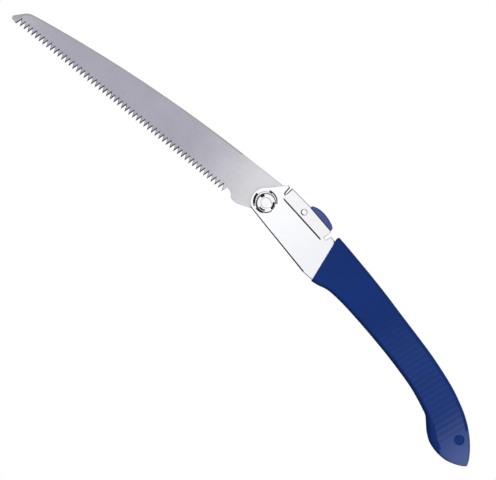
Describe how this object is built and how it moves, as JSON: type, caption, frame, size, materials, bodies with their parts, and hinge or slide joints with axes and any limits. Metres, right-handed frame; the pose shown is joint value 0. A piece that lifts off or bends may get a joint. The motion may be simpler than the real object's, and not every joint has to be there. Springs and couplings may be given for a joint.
{
  "type": "folding pruning saw",
  "caption": "Folding pruning saw: a tapered toothed blade that folds about a nut and bolt into a curved blue grip, with a chromed steel frame and a lock lever with a thumb button.",
  "frame": {"origin": "centre of the bounding box at the bottom face, with the saw lying on the back of its grip and the blade open", "axes": "+X along the frame towards the end of the grip, the blade points to -X; +Y towards the back of the blade and the lock lever, the teeth face -Y; +Z out of the side with the nut, along the pivot"},
  "size_m": [0.499, 0.0928, 0.024],
  "materials": {
    "blade_steel": "satin, fine lengthwise brushing, bright ground teeth",
    "frame_chrome": "bright chrome plate",
    "fastener_chrome": "bright chrome plate",
    "plain_steel": "zinc plated",
    "bush_brass": "turned",
    "washer_nylon": "moulded nylon",
    "grip_blue": "fine moulded grain with cross ribs",
    "button_blue": "smooth satin"
  },
  "bodies": {
    "handle": {"steel_frame": "frame_chrome", "grip_front_half": "grip_blue", "grip_back_half": "grip_blue", "pivot_bolt": "fastener_chrome", "pivot_nut": "fastener_chrome", "pivot_cup_washer": "fastener_chrome", "pivot_bush": "bush_brass", "thrust_washer_front": "washer_nylon", "thrust_washer_back": "washer_nylon", "lever_pin": "fastener_chrome", "lever_spring": "plain_steel", "spring_anchor_pin": "plain_steel", "blade_stop_pin": "plain_steel", "grip_screw_front": "plain_steel", "grip_screw_middle": "plain_steel", "grip_screw_rear": "plain_steel", "screw_spacer_front": "plain_steel", "screw_spacer_middle": "plain_steel"},
    "blade": {"saw_blade": "blade_steel"},
    "lever": {"lock_lever": "frame_chrome", "lock_lug": "plain_steel", "thumb_button": "button_blue", "button_push_nut_front": "plain_steel", "button_push_nut_rear": "plain_steel"}
  },
  "joints": [
    {"name": "blade_fold", "type": "hinge", "parent": "handle", "child": "blade", "pos_m": [-0.00982, 0.01616, 0.012], "axis": [0, 0, 1], "range_deg": [0, 165.5]},
    {"name": "lever_rock", "type": "hinge", "parent": "handle", "child": "lever", "pos_m": [0.01478, 0.03487, 0.012], "axis": [0, 0, -1], "range_deg": [-5, 5], "stiffness_Nm_per_rad": 0.3, "springref_deg": -11.46, "deforming": ["lever_spring"]}
  ]
}
